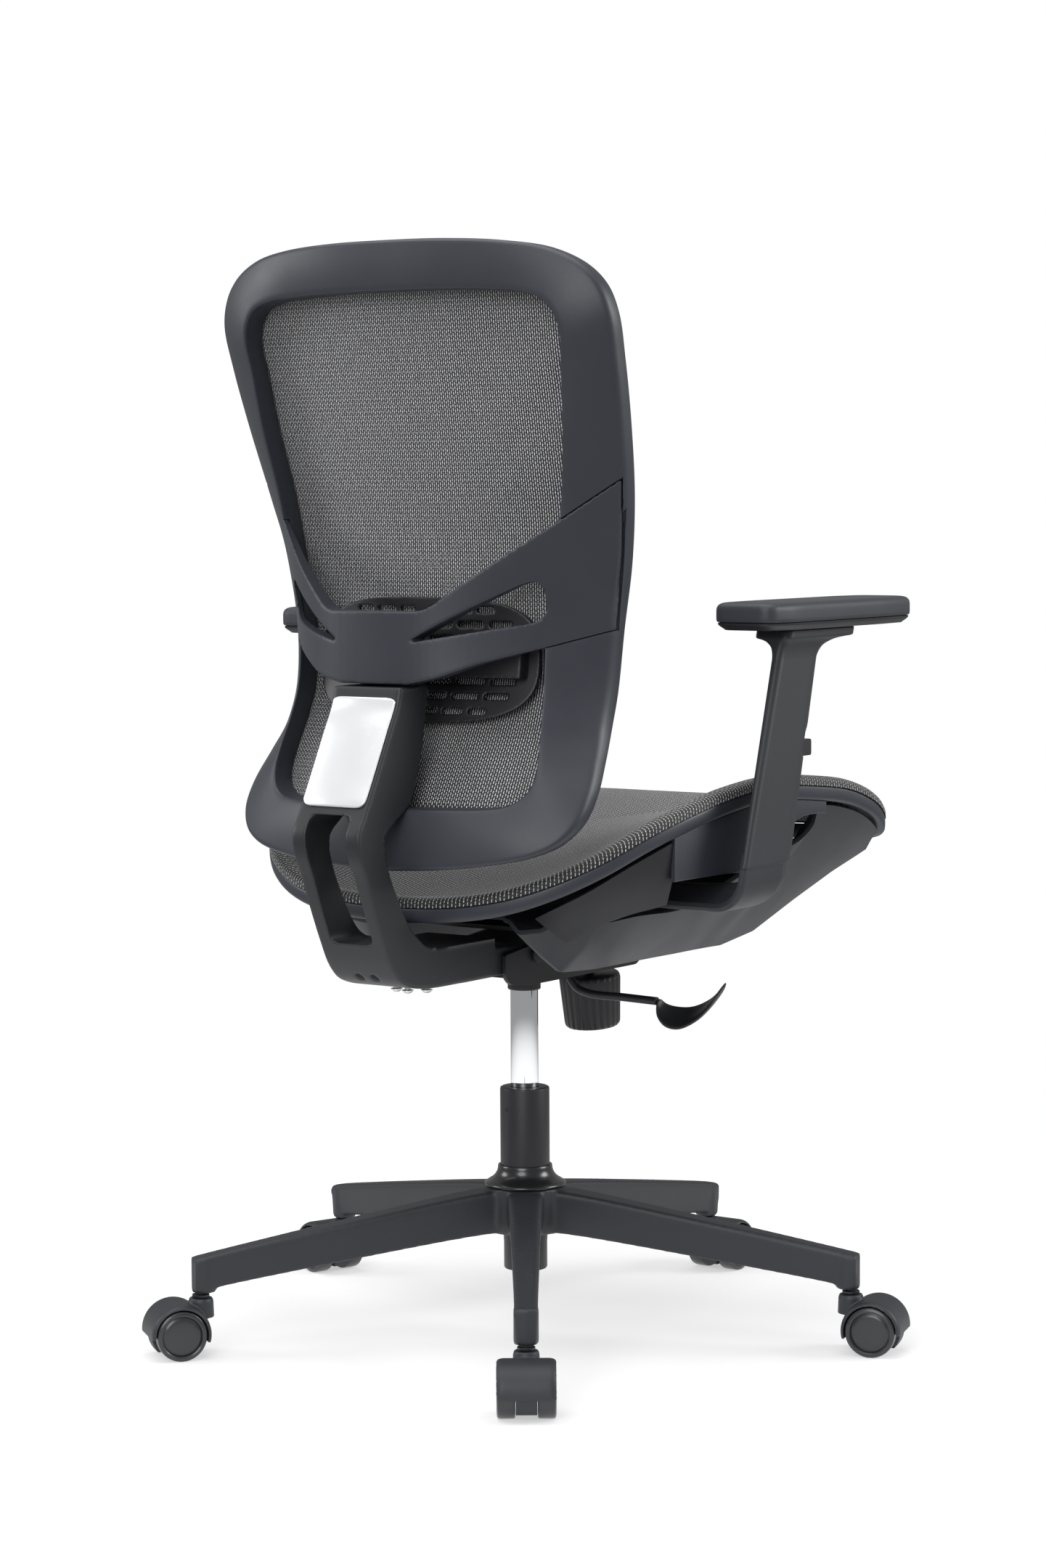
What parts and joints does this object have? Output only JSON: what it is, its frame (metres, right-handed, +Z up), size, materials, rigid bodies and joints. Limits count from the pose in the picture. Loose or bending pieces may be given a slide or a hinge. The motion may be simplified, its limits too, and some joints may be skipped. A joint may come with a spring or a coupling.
{
  "type": "swivel office chair",
  "caption": "Swivel office chair with mesh back and seat, height-adjustable arms, lumbar support, reclining spine, gas lift and a star base on twin-wheel casters.",
  "frame": {"origin": "on the floor under the middle of the chair's bounding box", "axes": "+Z up; the sitter faces -Y, so +Y is the rear; the sitter's right hand is on the -X side"},
  "size_m": [0.7645, 0.7312, 1.088],
  "materials": {
    "satin_nylon": "glass-filled nylon, fine satin grain",
    "satin_shell": "moulded plastic, fine satin grain, blue-grey black",
    "dark_plastic": "dark satin plastic",
    "gloss_plastic": "glossy black",
    "black_steel": "black powder coat",
    "chrome": "polished",
    "silver_trim": "bright satin",
    "netting": "open woven elastic net, black and light grey yarn",
    "soft_pad": "soft polyurethane, satin"
  },
  "bodies": {
    "base": {"base_star": "satin_nylon", "hub_cap": "gloss_plastic", "column_tube": "dark_plastic"},
    "lift": {"gas_rod": "chrome"},
    "mechanism": {"rod_collar": "dark_plastic", "mechanism_housing": "black_steel", "recline_axle": "black_steel", "tilt_axle": "black_steel"},
    "knob": {"tension_knob": "dark_plastic"},
    "lever": {"lever_rod": "black_steel", "lever_paddle": "dark_plastic"},
    "back": {"spine": "satin_shell", "spine_plate": "silver_trim", "spine_screw_1": "silver_trim", "spine_screw_2": "silver_trim", "spine_screw_3": "silver_trim", "yoke": "satin_shell", "back_frame": "satin_shell", "back_mesh": "netting"},
    "lumbar": {"lumbar_pad": "dark_plastic", "lumbar_carrier": "dark_plastic"},
    "seat": {"seat_plate": "black_steel", "seat_rim": "satin_shell", "seat_mesh": "netting", "seat_shell": "satin_shell", "seat_wing_right": "dark_plastic", "seat_wing_left": "dark_plastic", "side_panel_right": "satin_shell", "side_panel_left": "satin_shell", "arm_bracket_right": "satin_nylon", "arm_bracket_left": "satin_nylon", "arm_bar_right": "black_steel", "arm_bar_left": "black_steel"},
    "arm_right": {"arm_post_right": "satin_nylon", "pad_tray_right": "dark_plastic", "arm_pad_right": "soft_pad"},
    "button_right": {"arm_button_right": "dark_plastic"},
    "arm_left": {"arm_post_left": "satin_nylon", "pad_tray_left": "dark_plastic", "arm_pad_left": "soft_pad"},
    "button_left": {"arm_button_left": "dark_plastic"},
    "caster_1": {"caster_hood_1": "satin_nylon", "caster_stem_1": "chrome"},
    "wheels_1": {"caster_wheels_1": "gloss_plastic"},
    "caster_2": {"caster_hood_2": "satin_nylon", "caster_stem_2": "chrome"},
    "wheels_2": {"caster_wheels_2": "gloss_plastic"},
    "caster_3": {"caster_hood_3": "satin_nylon", "caster_stem_3": "chrome"},
    "wheels_3": {"caster_wheels_3": "gloss_plastic"},
    "caster_4": {"caster_hood_4": "satin_nylon", "caster_stem_4": "chrome"},
    "wheels_4": {"caster_wheels_4": "gloss_plastic"},
    "caster_5": {"caster_hood_5": "satin_nylon", "caster_stem_5": "chrome"},
    "wheels_5": {"caster_wheels_5": "gloss_plastic"}
  },
  "joints": [
    {"name": "gas_lift", "type": "slide", "parent": "base", "child": "lift", "axis": [0, 0, 1], "range_m": [-0.09, 0]},
    {"name": "seat_swivel", "type": "hinge", "parent": "lift", "child": "mechanism", "pos_m": [0.0016, 0.0278, 0.36], "axis": [0, 0, 1], "continuous": true},
    {"name": "tension_turn", "type": "hinge", "parent": "mechanism", "child": "knob", "pos_m": [0.0016, -0.0902, 0.352], "axis": [0, 0.1045, 0.9945], "continuous": true},
    {"name": "lever_lift", "type": "hinge", "parent": "mechanism", "child": "lever", "pos_m": [-0.0334, -0.0022, 0.366], "axis": [0, 1, 0], "range_deg": [0, 6], "stiffness_Nm_per_rad": 2},
    {"name": "back_recline", "type": "hinge", "parent": "mechanism", "child": "back", "pos_m": [0.0016, 0.0728, 0.392], "axis": [-1, 0, 0], "range_deg": [0, 20], "stiffness_Nm_per_rad": 60, "springref_deg": -22.92},
    {"name": "seat_tilt", "type": "hinge", "parent": "mechanism", "child": "seat", "pos_m": [0.0016, -0.0822, 0.404], "axis": [-1, 0, 0], "range_deg": [0, 6]},
    {"name": "lumbar_height", "type": "slide", "parent": "back", "child": "lumbar", "axis": [0, 0, 1], "range_m": [0, 0.03]},
    {"name": "arm_height_right", "type": "slide", "parent": "seat", "child": "arm_right", "axis": [0, -0.2851, 0.9585], "range_m": [-0.0125, 0.0575]},
    {"name": "button_press_right", "type": "slide", "parent": "arm_right", "child": "button_right", "axis": [0, 1, 0], "range_m": [0, 0.004], "stiffness_N_per_m": 600},
    {"name": "arm_height_left", "type": "slide", "parent": "seat", "child": "arm_left", "axis": [0, -0.2851, 0.9585], "range_m": [0, 0.07]},
    {"name": "button_press_left", "type": "slide", "parent": "arm_left", "child": "button_left", "axis": [0, 1, 0], "range_m": [0, 0.004], "stiffness_N_per_m": 600},
    {"name": "caster_swivel_1", "type": "hinge", "parent": "base", "child": "caster_1", "pos_m": [-0.19227, 0.30467, 0.06], "axis": [0, 0, 1], "continuous": true},
    {"name": "wheel_roll_1", "type": "hinge", "parent": "caster_1", "child": "wheels_1", "pos_m": [-0.20649, 0.32499, 0.025], "axis": [-0.8192, -0.5736, 0], "continuous": true},
    {"name": "caster_swivel_2", "type": "hinge", "parent": "base", "child": "caster_2", "pos_m": [-0.32163, -0.07102, 0.06], "axis": [0, 0, 1], "continuous": true},
    {"name": "wheel_roll_2", "type": "hinge", "parent": "caster_2", "child": "wheels_2", "pos_m": [-0.34535, -0.07827, 0.025], "axis": [0.2924, -0.9563, 0], "continuous": true},
    {"name": "caster_swivel_3", "type": "hinge", "parent": "base", "child": "caster_3", "pos_m": [-0.0043, -0.31015, 0.06], "axis": [0, 0, 1], "continuous": true},
    {"name": "wheel_roll_3", "type": "hinge", "parent": "caster_3", "child": "wheels_3", "pos_m": [-0.00473, -0.33494, 0.025], "axis": [0.9998, -0.0175, 0], "continuous": true},
    {"name": "caster_swivel_4", "type": "hinge", "parent": "base", "child": "caster_4", "pos_m": [0.32118, -0.08224, 0.06], "axis": [0, 0, 1], "continuous": true},
    {"name": "wheel_roll_4", "type": "hinge", "parent": "caster_4", "child": "wheels_4", "pos_m": [0.34463, -0.09032, 0.025], "axis": [0.3256, 0.9455, 0], "continuous": true},
    {"name": "caster_swivel_5", "type": "hinge", "parent": "base", "child": "caster_5", "pos_m": [0.20501, 0.29774, 0.06], "axis": [0, 0, 1], "continuous": true},
    {"name": "wheel_roll_5", "type": "hinge", "parent": "caster_5", "child": "wheels_5", "pos_m": [0.21994, 0.31755, 0.025], "axis": [-0.7986, 0.6018, 0], "continuous": true}
  ],
  "couplings": [
    {"joint": "seat_tilt", "follows": "back_recline", "ratio": 0.3}
  ]
}
